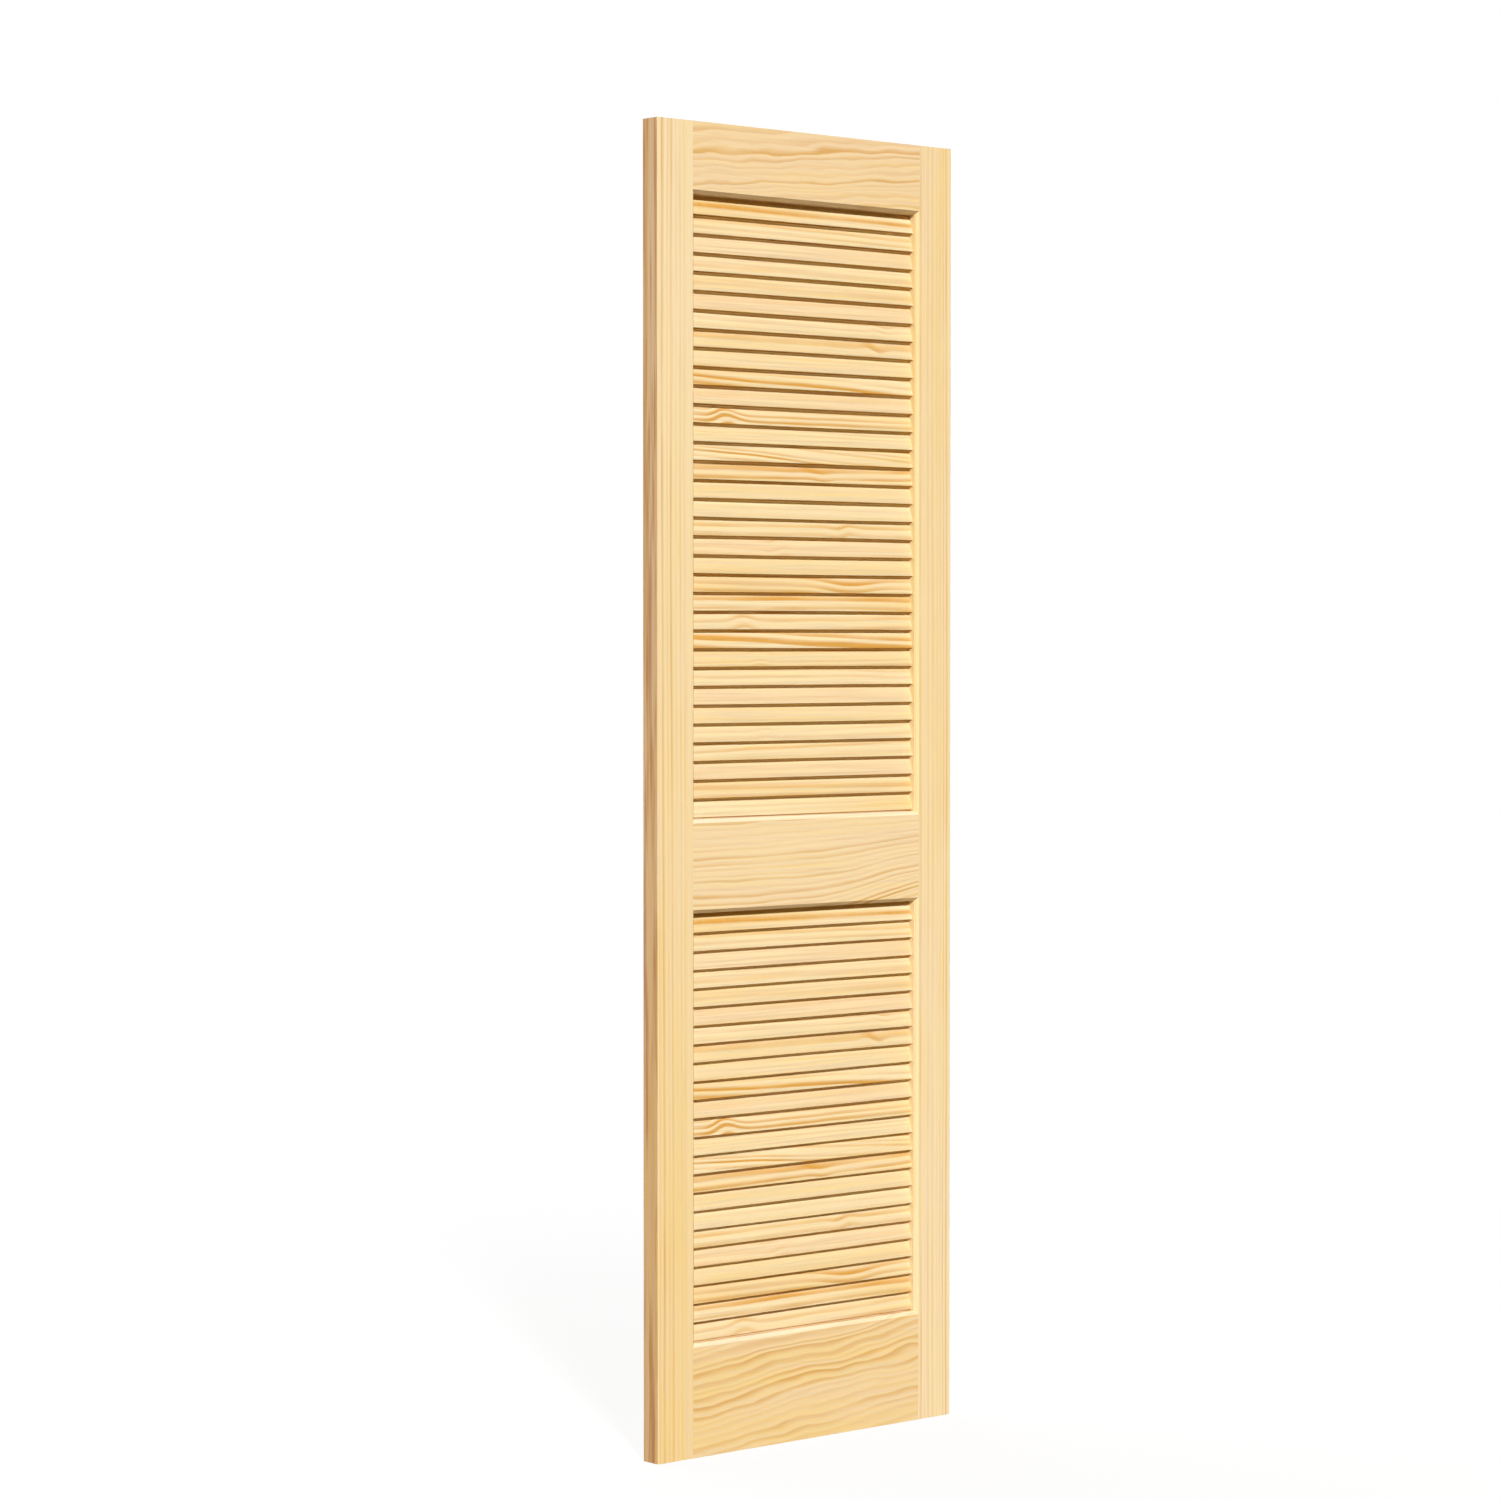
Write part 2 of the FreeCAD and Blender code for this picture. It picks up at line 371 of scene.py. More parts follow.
@dataclass(frozen=True)
class PineFinish:
    """Bare planed pine: its colours and how it takes light.

    Attributes:
        cream: the palest wood.
        yellow: the colour of its yellow patches.
        pink: the colour of its pink patches.
        late: late wood.
        resin: resin canals, and the brown streaks of a sawn edge, which are partly its own grain and
            partly painted shade, and painted shade on the slats' lower edges.
        edge: a sawn edge, browner partly by its own grain and partly by painted shade; on the slats'
            lower edges it is painted shade.
        bevel: painted highlight, a paler colour for the chamfers that face up, where more light falls.
        end: end grain.
        edge_grain_and_shade_share: how far a sawn edge takes its colour, partly grain and partly painted
            shade, and so on for the other shares.
        canal_span: the waves' values at which a resin canal starts and is whole.
        brown_span: the waves' values at which a brown streak starts and is whole.
        line_drift: how far the fine lines shift the patches of colour.
        yellow_drift: how far the patches make the wood yellower.
        pink_drift: how far they make it less pink.
        fibre_depth: how far the fibres lighten and darken the wood.
        line_depth: how far the fine lines do.
        roughness: roughness of early wood.
        late_polish: how much smoother late wood is.
        fibre_roughness: how far the roughness differs from fibre to fibre.
        gloss: level of the shine.
        relief: depth of the planed surface, in metres.
        relief_strength: how strongly that depth shows.
        late_relief: the late wood's share of the depth.
        fibre_relief: the fibres' share of it.
    """

    cream: Colour = srgb(251, 229, 185)
    yellow: Colour = srgb(245, 214, 148)
    pink: Colour = srgb(244, 211, 168)
    late: Colour = srgb(222, 168, 88)
    resin: Colour = srgb(192, 122, 68)
    edge: Colour = srgb(228, 162, 108)
    bevel: Colour = srgb(255, 245, 222)
    end: Colour = srgb(205, 158, 100)
    edge_grain_and_shade_share: float = 0.35
    painted_highlight_share: float = 0.4
    brown_share: float = 0.7
    end_share: float = 0.6
    canal_share: float = 0.3
    canal_span: Span = (0.35, 0.6)
    brown_span: Span = (-0.1, 0.4)
    line_drift: float = 1.2
    yellow_drift: float = 0.7
    pink_drift: float = 0.5
    fibre_depth: float = 0.1
    line_depth: float = 0.07
    roughness: float = 0.68
    late_polish: float = 0.12
    fibre_roughness: float = 0.05
    gloss: float = 0.12
    relief: float = 0.00012
    relief_strength: float = 0.35
    late_relief: float = 0.6
    fibre_relief: float = 0.5


class PineMaterial:
    """One board's material: growth rings, fibres and end grain about its grain direction."""

    def __init__(self, name: str, finish: PineFinish) -> None:
        """Start an empty material.

        Args:
            name: the material's name.
            finish: its colours and polish.
        """
        self.material = bpy.data.materials.new(name)
        self.material.use_nodes = True
        self.graph = Graph(self.material.node_tree)
        self.finish = finish
        self.growth = Growth()

    def board_place(self, axis: Axis, middle: Vector) -> Place:
        """Measure a frame board from its own middle.

        Args:
            axis: the way that the grain runs.
            middle: the board's middle in metres.

        Returns:
            The place in millimetres.
        """
        spot = self.graph.add("ShaderNodeTexCoord", output="Object")
        x, y, z = ((wire - centre) / MM for wire, centre in zip(self.graph.split(spot), middle))
        return Place(z, x, y) if axis is Axis.UP else Place(x, z, y)

    def slat_place(self) -> Place:
        """Measure a slat by the place that its mesh carries."""
        x, y, z = (wire / MM for wire in self.graph.split(self.attribute("grain")))
        return Place(x, z, y)

    def attribute(self, name: str) -> Wire:
        """Read a vector that the mesh carries."""
        return self.graph.add("ShaderNodeAttribute", {"attribute_name": name}, output="Vector")

    def waves(self, place: Place, cut: Cut, layer: Waves) -> Wire:
        """Make a layer of soft waves.

        Args:
            place: where the point lies.
            cut: how the board was sawn.
            layer: the waves' sizes.

        Returns:
            A value about zero, mostly between -0.6 and 0.6.
        """
        start = cut.seed + layer.shift
        along = place.along / layer.length + start
        across = place.across / layer.width + start
        spot = self.graph.vector(along, across, place.through / layer.width)
        inputs = {"Vector": spot, "Scale": 1.0, "Detail": layer.detail}
        return (self.graph.add("ShaderNodeTexNoise", {}, inputs) - 0.5) * 2.0

    def years(self, place: Place, cut: Cut) -> Wire:
        """Count the growth rings from the heart of the log.

        Args:
            place: where the point lies.
            cut: how the board was sawn.

        Returns:
            The ring's number, with the part of a year after the point.
        """
        figure = cut.figure
        slow = self.waves(place, cut, cut.slow_waves()) * cut.wander
        quick = self.waves(place, cut, cut.quick_waves()) * cut.ripple
        span = figure.span(place)
        swirl = span.bell() * (figure.bulge * (1 - place.across * figure.lean) + span * figure.kink)
        across = place.across - cut.heart_across + place.along * cut.climb + slow + quick + swirl
        depth = place.through - cut.heart_behind
        even = (across * across + depth * depth).root() / cut.ring
        inputs = {"W": even * self.growth.change + cut.seed, "Scale": 1.0, "Detail": 1.0}
        stray = self.graph.add("ShaderNodeTexNoise", {"noise_dimensions": "1D"}, inputs)
        return even + stray * self.growth.stray

    def late_wood(self, place: Place, cut: Cut) -> Wire:
        """Darken each ring slowly towards its end, some rings more than others.

        Args:
            place: where the point lies.
            cut: how the board was sawn.

        Returns:
            The share of late wood, from 0 to about 1.
        """
        growth = self.growth
        years = self.years(place, cut)
        phase = years.part()
        shade = phase.between(*growth.darkens) * (1 - phase.between(*growth.pales))
        number = {"W": years.whole() + cut.seed}
        year = self.graph.add("ShaderNodeTexWhiteNoise", {"noise_dimensions": "1D"}, number)
        patch = self.waves(place, cut, RING_PATCHES) * growth.patch_depth + growth.patch_level
        figured = cut.figure.span(place).bell() * cut.figure.depth + 1
        strength = shade * (year * year + growth.faintest) * patch * figured
        return strength * cut.streaks * (1 + place.across * cut.fade)

    def ground(self, place: Place, cut: Cut, line: Wire) -> Wire:
        """Colour the wood between its darker marks, in soft patches of cream, yellow and pink.

        Args:
            place: where the point lies.
            cut: how the board was sawn.
            line: the fine lines along the grain.

        Returns:
            The colour.
        """
        look = self.finish
        drift = self.waves(place, cut, cut.colour_patches()) + line * look.line_drift
        yellow = place.along * cut.blush + cut.yellow + drift * look.yellow_drift
        pale = self.graph.mix(yellow, look.cream, look.yellow)
        return self.graph.mix(cut.pink - drift * look.pink_drift, pale, look.pink)

    def dress(
        self, place: Place, cut: Cut, edge: Value = 0.0, end: Value = 0.0, bevel: Value = 0.0
    ) -> bpy.types.Material:
        """Colour the wood and feed its shader.

        Args:
            place: where the point lies.
            cut: how the board was sawn.
            edge: how much of the surface is a sawn edge, from 0 to 1, whose colour is partly its own
                grain and partly painted shade.
            end: how much of it is end grain, from 0 to 1.
            bevel: how much of it gets the painted highlight of a chamfer that faces up, from 0 to 1.

        Returns:
            The finished material.
        """
        look = self.finish
        graph = self.graph
        late = self.late_wood(place, cut)
        line = self.waves(place, cut, FINE_LINES)
        fibre = self.waves(place, cut, FIBRES)
        canal = self.waves(place, cut, RESIN_CANALS).between(*look.canal_span)
        brown = self.waves(place, cut, BROWN_STREAKS).between(*look.brown_span)
        tints = (
            # the edges' tint: partly the edge's own grain, partly painted shade
            (edge * look.edge_grain_and_shade_share, look.edge),
            (late, look.late),
            # painted highlight on the chamfers that face up
            (bevel * look.painted_highlight_share, look.bevel),
            # brown streaks on the edges: partly grain, partly painted shade
            (edge * brown * look.brown_share, look.resin),
            (end * look.end_share, look.end),
            (canal * look.canal_share, look.resin),
        )
        wood = self.ground(place, cut, line)
        for share, tint in tints:
            wood = graph.mix(share, wood, tint)
        value = 1 + fibre * look.fibre_depth + line * look.line_depth
        height = late * look.late_relief + fibre * look.fibre_relief
        relief = {"Strength": look.relief_strength, "Distance": look.relief, "Height": height}
        feeds = {
            "Base Color": graph.add("ShaderNodeHueSaturation", {}, {"Value": value, "Color": wood}),
            "Roughness": look.roughness - late * look.late_polish + fibre * look.fibre_roughness,
            "Specular IOR Level": look.gloss,
            "Normal": graph.add("ShaderNodeBump", {}, relief),
        }
        graph.feed(self.material.node_tree.nodes["Principled BSDF"], feeds)
        return self.material


@dataclass(frozen=True)
class Board:
    """One board of the door's frame.

    Attributes:
        node: its solid.
        axis: the way that its grain runs.
        outward: the side of its outer edge, 1 or -1, or 0 where both edges face an opening.
        cut: how it was sawn.
    """

    node: str
    axis: Axis
    outward: int
    cut: Cut


def stile_cut(
    seed: float, heart_across: float, streaks: float, fade: float, yellow: float, blush: float
) -> Cut:
    """Saw a stile: close straight rings.

    Args:
        seed: shifts the patterns.
        heart_across: where the heart of the log lies across the stile.
        streaks: how strongly the late wood shows.
        fade: change in the late wood's strength for each millimetre across.
        yellow: how yellow it is.
        blush: how much yellower it gets for each millimetre up.

    Returns:
        The cut.
    """
    return Cut(
        seed=seed, heart_across=heart_across, heart_behind=45.0, ring=8.0, climb=0.002, wander=3.5,
        wander_length=900.0, ripple=0.5, ripple_length=160.0, streaks=streaks, fade=fade, yellow=yellow,
        pink=0.1, blush=blush,
    )


def rail_cut(
    seed: float, heart_across: float, ring: float, climb: float, streaks: float, **wood: Any
) -> Cut:
    """Saw a rail: broad wavy rings.

    Args:
        seed: shifts the patterns.
        heart_across: where the heart of the log lies up or down the rail.
        ring: width of a year's growth.
        climb: fall of the rings towards the right.
        streaks: how strongly the late wood shows.
        wood: the cut's other values.

    Returns:
        The cut.
    """
    return Cut(
        seed=seed, heart_across=heart_across, heart_behind=55.0, ring=ring, climb=climb, streaks=streaks,
        wander_length=150.0, ripple_length=55.0, **wood,
    )


LEFT_STILE = stile_cut(
    seed=1.7, heart_across=130.0, streaks=0.4, fade=-0.016, yellow=0.4, blush=-0.0005
)
RIGHT_STILE = stile_cut(
    seed=4.2, heart_across=-150.0, streaks=0.5, fade=0.012, yellow=0.25, blush=0.0002
)
TOP_RAIL = rail_cut(
    seed=41.9, heart_across=90.0, ring=8.0, climb=-0.08, streaks=0.55, wander=11.0, ripple=5.0,
    fade=0.002, yellow=0.3, pink=0.5,
)
MID_RAIL = rail_cut(
    seed=12.9, heart_across=150.0, ring=9.0, climb=-0.01, streaks=0.7, wander=6.0, ripple=1.2,
    fade=-0.004, yellow=0.2, pink=0.25,
    figure=Figure(place=280.0, reach=150.0, bulge=-30.0, lean=0.012),
)
BOTTOM_RAIL = rail_cut(
    seed=17.2, heart_across=-152.0, ring=11.0, climb=-0.1, streaks=0.65, wander=15.0, ripple=3.5,
    yellow=0.75, pink=0.3,
)
DOWEL = stile_cut(seed=21.0, heart_across=40.0, streaks=0.4, fade=0.0, yellow=0.2, blush=0.0)

BOARDS = (
    Board("left_stile", Axis.UP, -1, LEFT_STILE),
    Board("right_stile", Axis.UP, 1, RIGHT_STILE),
    Board("top_rail", Axis.ACROSS, 1, TOP_RAIL),
    Board("mid_rail", Axis.ACROSS, 0, MID_RAIL),
    Board("bottom_rail", Axis.ACROSS, -1, BOTTOM_RAIL),
)


@dataclass
class DoorFrame:
    """The stiles, the rails and the dowels inside their joints.

    A span gives how far a face looks one way, from 0 to 1, where a mask starts and where it is whole.

    Attributes:
        finish: the wood's colours and polish.
        nodes: the solids by name.
        end_facing: span along the grain for end grain.
        edge_facing: span outwards for the frame's outer edge, which is tinted browner, partly its own
            grain and partly painted shade.
        highlight_facing: span upwards for a chamfer that gets the painted highlight.
        level_facing: span upwards for a level face, which gets no painted highlight.
    """

    finish: PineFinish
    nodes: dict[str, bpy.types.Object]
    end_facing: Span = (0.6, 0.95)
    edge_facing: Span = (0.8, 0.98)
    highlight_facing: Span = (0.5, 0.65)
    level_facing: Span = (0.76, 0.9)

    def dress(self) -> None:
        """Give each board its own pine, and the dowels theirs."""
        for board in BOARDS:
            self.dress_board(board)
        self.dress_dowels()

    def dress_board(self, board: Board) -> None:
        """Put a board's material on its solid.

        Args:
            board: the board to dress.
        """
        low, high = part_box(board.node)
        pine = PineMaterial(f"{board.node}_pine", self.finish)
        place = pine.board_place(board.axis, (low + high) / 2)
        x, _, z = pine.graph.split(pine.graph.add("ShaderNodeTexCoord", output="Normal"))
        end, edge = (z, x) if board.axis is Axis.UP else (x, z)
        # Outer edges are tinted browner: partly their own grain, partly painted shade.
        masks = {
            "end": abs(end).between(*self.end_facing),
            "edge": (edge * board.outward).between(*self.edge_facing),
        }
        # Chamfers on the rails that face up are painted paler: a painted highlight where more light
        # falls.
        if board.axis is Axis.ACROSS:
            level = edge.between(*self.level_facing)
            masks["bevel"] = edge.between(*self.highlight_facing) * (1 - level)
        self.paint(board.node, pine.dress(place, board.cut, **masks))

    def dress_dowels(self) -> None:
        """Put a plain close-grained wood on the dowels."""
        pine = PineMaterial("dowel_grain", self.finish)
        place = pine.board_place(Axis.ACROSS, Vector())
        self.paint("dowels", pine.dress(place, DOWEL))

    def paint(self, node: str, material: bpy.types.Material) -> None:
        """Replace a solid's materials.

        Args:
            node: the solid's name.
            material: its new material.
        """
        mesh = self.nodes[node].data
        mesh.materials.clear()
        mesh.materials.append(material)
        log.info("%s: %d triangles, %s", node, len(mesh.polygons), material.name)


class Tone(Enum):
    """What a slat's wood leans to: how yellow and how pink it is."""

    CREAM = (0.15, 0.15)
    YELLOW = (0.45, 0.2)
    PINK = (0.2, 0.6)
    HONEY = (0.7, 0.3)


@dataclass(frozen=True)
class SlatWood:
    """The wood of one slat.

    Attributes:
        tone: its colour.
        streaks: how strongly the late wood shows, mostly from 0 to 1.
        climb: fall of the rings towards the right.
        blush: how yellow its right end is, or its left end if below zero.
        figure: a swirl in its grain.
    """

    tone: Tone
    streaks: float
    climb: float = 0.0
    blush: float = 0.0
    figure: Figure = Figure()


SLAT_WOODS = (
    SlatWood(Tone.YELLOW, 0.9, blush=-0.8),
    SlatWood(Tone.CREAM, 0.7),
    SlatWood(Tone.PINK, 0.3, blush=0.6),
    SlatWood(Tone.CREAM, 0.6),
    SlatWood(Tone.YELLOW, 0.3),
    SlatWood(Tone.PINK, 0.5),
    SlatWood(Tone.CREAM, 0.5, figure=Figure(place=165.0, reach=20.0, kink=5.0)),
    SlatWood(Tone.YELLOW, 1.2, figure=Figure(place=150.0, reach=20.0, bulge=2.0, kink=10.0)),
    SlatWood(Tone.YELLOW, 0.25),
    SlatWood(Tone.CREAM, 1.2, climb=0.05, blush=-0.5),
    SlatWood(Tone.PINK, 0.3),
    SlatWood(Tone.CREAM, 1.0, blush=0.3, figure=Figure(place=-170.0, reach=30.0, bulge=-6.0, kink=-10.0)),
    SlatWood(Tone.CREAM, 0.5),
    SlatWood(Tone.CREAM, 1.5, climb=0.06, blush=0.4),
    SlatWood(Tone.YELLOW, 1.1, figure=Figure(place=30.0, reach=25.0, bulge=2.0, kink=3.0)),
    SlatWood(Tone.YELLOW, 0.25),
    SlatWood(Tone.CREAM, 0.25),
    SlatWood(Tone.CREAM, 0.8, figure=Figure(place=85.0, reach=22.0, kink=-6.0)),
    SlatWood(Tone.PINK, 0.6, figure=Figure(place=-55.0, reach=25.0, kink=-7.0)),
    SlatWood(Tone.YELLOW, 0.2),
    SlatWood(Tone.HONEY, 1.3, blush=-0.5, figure=Figure(place=100.0, reach=60.0, bulge=10.0)),
    SlatWood(Tone.CREAM, 1.2, blush=0.9),
    SlatWood(Tone.CREAM, 0.9, figure=Figure(place=-123.0, reach=25.0, bulge=-8.0)),
    SlatWood(Tone.CREAM, 1.6, climb=0.03),
    SlatWood(Tone.YELLOW, 0.8, figure=Figure(place=-90.0, reach=18.0, bulge=-3.0)),
    SlatWood(Tone.CREAM, 0.35),
    SlatWood(Tone.PINK, 0.3),
    SlatWood(Tone.YELLOW, 0.3),
    SlatWood(Tone.CREAM, 0.6, figure=Figure(place=-78.0, reach=18.0, bulge=-3.0)),
    SlatWood(Tone.CREAM, 0.6, climb=-0.03),
    SlatWood(Tone.PINK, 0.25),
    SlatWood(Tone.YELLOW, 0.8),
    SlatWood(Tone.CREAM, 0.4, blush=0.8),
)

SLAT_FINISH = PineFinish(
    cream=srgb(239, 219, 175),
    yellow=srgb(233, 205, 146),
    pink=srgb(235, 206, 164),
    late=srgb(213, 157, 72),
    # On the slats the edge colour and the resin streaks on it darken the lower edges: painted shade for
    # the dark lines between the slats.
    resin=srgb(170, 108, 40),
    edge=srgb(196, 142, 30),
    edge_grain_and_shade_share=0.85,
    line_depth=0.18,
)


@dataclass
class SlatPine:
    """The slats' pine, which differs from slat to slat by what the mesh carries.

    A span gives the least and the greatest that chance makes a value, or where a fade starts and ends.

    Attributes:
        finish: its colours and polish.
        seed: span of the patterns' shift.
        heart_across: span of the place of the log's heart across a slat.
        heart_behind: span of the heart's distance behind a slat.
        ring: span of the width of a year's growth.
        climb: span of what is added to the fall of a slat's rings.
        blush_reach: distance from a slat's middle at which it has its whole blush.
        swirl_depth: how much more the late wood shows for each millimetre of a swirl.
        edge_through: fade of the painted shade on the lower edge, out from the middle of the thickness.
        edge_across: fade of that painted shade, up from below the middle of the width.
    """

    finish: PineFinish
    seed: Span = (0.0, 60.0)
    heart_across: Span = (40.0, 100.0)
    heart_behind: Span = (10.0, 50.0)
    ring: Span = (9.0, 15.0)
    climb: Span = (-0.015, 0.015)
    blush_reach: float = 229.0
    swirl_depth: float = 0.08
    edge_through: Span = (1.8, 2.9)
    edge_across: Span = (-2.0, 2.0)

    def build(self) -> bpy.types.Material:
        """Make the material.

        Returns:
            The material, for all the slats.
        """
        pine = PineMaterial("slat_pine", self.finish)
        place = pine.slat_place()
        # Only the lower edges are darkened, not the upper ones: painted shade for the lines between the
        # slats.
        through = abs(place.through).between(*self.edge_through)
        lower_edge_shade = (1 - through) * (1 - place.across.between(*self.edge_across))
        return pine.dress(place, self.cut(pine), edge=lower_edge_shade)

    def cut(self, pine: PineMaterial) -> Cut:
        """Read from the mesh how each slat was sawn.

        Args:
            pine: the material that reads it.

        Returns:
            The cut.
        """
        first, second, third = pine.graph.split(pine.attribute("log"))
        streaks, climb, reach = pine.graph.split(pine.attribute("streak"))
        yellow, pink, blush = pine.graph.split(pine.attribute("tone"))
        spot, bulge, kink = pine.graph.split(pine.attribute("swirl"))
        depth = (abs(bulge) + abs(kink)) * self.swirl_depth
        return Cut(
            seed=first.spread(*self.seed),
            heart_across=second.spread(*self.heart_across),
            heart_behind=third.spread(*self.heart_behind),
            ring=third.spread(*self.ring),
            climb=climb + first.spread(*self.climb),
            wander=5.0,
            wander_length=260.0,
            ripple=0.8,
            ripple_length=60.0,
            streaks=streaks,
            yellow=yellow,
            pink=pink,
            blush=blush / self.blush_reach,
            drift_width=8.0,
            figure=Figure(spot, reach, bulge, kink, depth=depth),
        )


class Panel(Enum):
    """The two openings of the door."""

    UPPER = "upper"
    LOWER = "lower"


BANK_INPUTS = {
    "Ladder": "NodeSocketGeometry",
    "Length": "NodeSocketFloat",
    "Width": "NodeSocketFloat",
    "Thickness": "NodeSocketFloat",
    "Corner": "NodeSocketFloat",
    "Corner steps": "NodeSocketInt",
    "Lean": "NodeSocketFloat",
    "Bends": "NodeSocketInt",
    "Wood": "NodeSocketMaterial",
}


@dataclass
class SlatBank:
    """The slats of one opening, housed at both ends in the stiles.

    Attributes:
        panel: the opening.
        nodes: the slats' solids.
        material: their wood.
        width: a slat's width.
        thickness: its thickness.
        corner: radius of its eased corners.
        corner_steps: points around each corner.
        lean: how far it leans, with its lower edge to the front.
        bow: the most that it bows each way.
        bends: points along it.
        seed: fixes what is left to chance.
        pair_rise: height of a solid that holds two slats, at least, in heights of one.
    """

    panel: Panel
    nodes: list[str]
    material: bpy.types.Material
    width: float = 31.0 * MM
    thickness: float = 6.4 * MM
    corner: float = 1.0 * MM
    corner_steps: int = 3
    lean: float = math.radians(20.0)
    bow: float = 0.6 * MM
    bends: int = 13
    seed: int = 5
    pair_rise: float = 1.5

    def heights(self) -> list[float]:
        """Find the heights of the slats' middles.

        Returns:
            The heights, highest first.
        """
        boxes = [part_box(name) for name in self.nodes]
        rise = min(high.z - low.z for low, high in boxes)
        found = []
        for low, high in boxes:
            found.append(high.z - rise / 2)
            if high.z - low.z > self.pair_rise * rise:
                found.append(low.z + rise / 2)
        return sorted(found, reverse=True)

    def ladder(self) -> bpy.types.Object:
        """Make one point for each slat, which carries what tells that slat from the others.

        Returns:
            The object that the slats grow on.
        """
        chance = random.Random(self.seed)
        heights = self.heights()
        mesh = bpy.data.meshes.new(f"{self.panel.value}_slats")
        mesh.from_pydata([(0.0, 0.0, height) for height in heights], [], [])
        for name in ("log", "streak", "tone", "swirl", "bow"):
            mesh.attributes.new(name, "FLOAT_VECTOR", "POINT")
        for index, wood in enumerate(SLAT_WOODS[:len(heights)]):
            figure = wood.figure
            carried = {
                "log": [chance.random() for _ in range(3)],
                "streak": (wood.streaks, wood.climb, figure.reach),
                "tone": (*wood.tone.value, wood.blush),
                "swirl": (figure.place, figure.bulge, figure.kink),
                "bow": (0.0, chance.uniform(-self.bow, self.bow), chance.uniform(-self.bow, self.bow)),
            }
            for name, vector in carried.items():
                mesh.attributes[name].data[index].vector = vector
        slats = bpy.data.objects.new(mesh.name, mesh)
        bpy.context.scene.collection.objects.link(slats)
        return slats

    def tree(self) -> bpy.types.NodeTree:
        """Build the tree that grows a slat on each point.

        Returns:
            The tree, with an input for each of a slat's sizes.
        """
        tree = bpy.data.node_groups.new("slat bank", "GeometryNodeTree")
        for name, kind in BANK_INPUTS.items():
            tree.interface.new_socket(name, in_out="INPUT", socket_type=kind)
        tree.interface.new_socket("Slats", in_out="OUTPUT", socket_type="NodeSocketGeometry")
        graph = Graph(tree)
        entry = graph.add("NodeGroupInput").socket.node
        given = {socket.name: Wire(graph, socket) for socket in entry.outputs if socket.name}
        half = given["Length"] / 2
        turn = graph.vector(given["Lean"] * -1, 0.0, 0.0)
        points = {
            "Points": given["Ladder"],
            "Instance": self.straight_slat(graph, given, half),
            "Rotation": graph.add("FunctionNodeEulerToRotation", {}, {"Euler": turn}),
        }
        placed = graph.add("GeometryNodeInstanceOnPoints", {}, points)
        real = graph.add("GeometryNodeRealizeInstances", {}, {"Geometry": placed})
        wood = {"Geometry": self.bowed(graph, real, half), "Material": given["Wood"]}
        dressed = graph.add("GeometryNodeSetMaterial", {}, wood)
        graph.feed(tree.nodes.new("NodeGroupOutput"), {"Slats": dressed})
        return tree

    @staticmethod
    def straight_slat(graph: Graph, given: dict[str, Wire], half: Wire) -> Wire:
        """Sweep a slat's section along it and mark each point with its place in the wood.

        Args:
            graph: the tree being built.
            given: the tree's inputs by name.
            half: half of a slat's length.

        Returns:
            The slat, level and straight.
        """
        sides = {"Width": given["Thickness"], "Height": given["Width"]}
        section = graph.add("GeometryNodeCurvePrimitiveQuadrilateral", {}, sides)
        corners = {"Curve": section, "Count": given["Corner steps"], "Radius": given["Corner"]}
        eased = graph.add("GeometryNodeFilletCurve", {"mode": "POLY"}, corners)
        ends = {"Start": graph.vector(half * -1, 0.0, 0.0), "End": graph.vector(half, 0.0, 0.0)}
        line = graph.add("GeometryNodeCurvePrimitiveLine", {}, ends)
        path = graph.add("GeometryNodeResampleCurve", {}, {"Curve": line, "Count": given["Bends"]})
        upright = graph.add("GeometryNodeSetCurveNormal", {"mode": "Z_UP"}, {"Curve": path})
        sweep = {"Curve": upright, "Profile Curve": eased, "Fill Caps": True}
        slat = graph.add("GeometryNodeCurveToMesh", {}, sweep)
        mark = {"Geometry": slat, "Name": "grain", "Value": graph.add("GeometryNodeInputPosition")}
        return graph.add("GeometryNodeStoreNamedAttribute", {"data_type": "FLOAT_VECTOR"}, mark)

    @staticmethod
    def bowed(graph: Graph, slats: Wire, half: Wire) -> Wire:
        """Bow each slat between its ends as its point says.

        Args:
            graph: the tree being built.
            slats: the slats in their places.
            half: half of a slat's length.

        Returns:
            The bowed slats.
        """
        along = graph.split(graph.add("GeometryNodeInputPosition"))[0] / half
        kind = {"data_type": "FLOAT_VECTOR"}
        bow = graph.add("GeometryNodeInputNamedAttribute", kind, {"Name": "bow"})
        scaled = {"Vector": bow, "Scale": 1 - along * along}
        offset = graph.add("ShaderNodeVectorMath", {"operation": "SCALE"}, scaled)
        return graph.add("GeometryNodeSetPosition", {}, {"Geometry": slats, "Offset": offset})

    def build(self) -> bpy.types.Object:
        """Grow the slats, turn them into a plain mesh and put them in their solids' place.

        Returns:
            The finished slats.
        """
        low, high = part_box(self.nodes[0])
        sizes = {
            "Length": high.x - low.x,
            "Width": self.width,
            "Thickness": self.thickness,
            "Corner": self.corner,
            "Corner steps": self.corner_steps,
            "Lean": self.lean,
            "Bends": self.bends,
            "Wood": self.material,
        }
        slats = self.ladder()
        growth = slats.modifiers.new("growth", "NODES")
        growth.node_group = self.tree()
        for socket in growth.node_group.interface.items_tree:
            if socket.name in sizes:
                growth[socket.identifier] = sizes[socket.name]
        depsgraph = bpy.context.evaluated_depsgraph_get()
        grown = bpy.data.meshes.new_from_object(
            slats.evaluated_get(depsgraph), preserve_all_data_layers=True, depsgraph=depsgraph
        )
        slats.modifiers.clear()
        slats.data = grown
        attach(slats, BODY)
        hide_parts(*self.nodes)
        log.info("%s: %d slats, %d faces", slats.name, len(self.heights()), len(grown.polygons))
        return slats


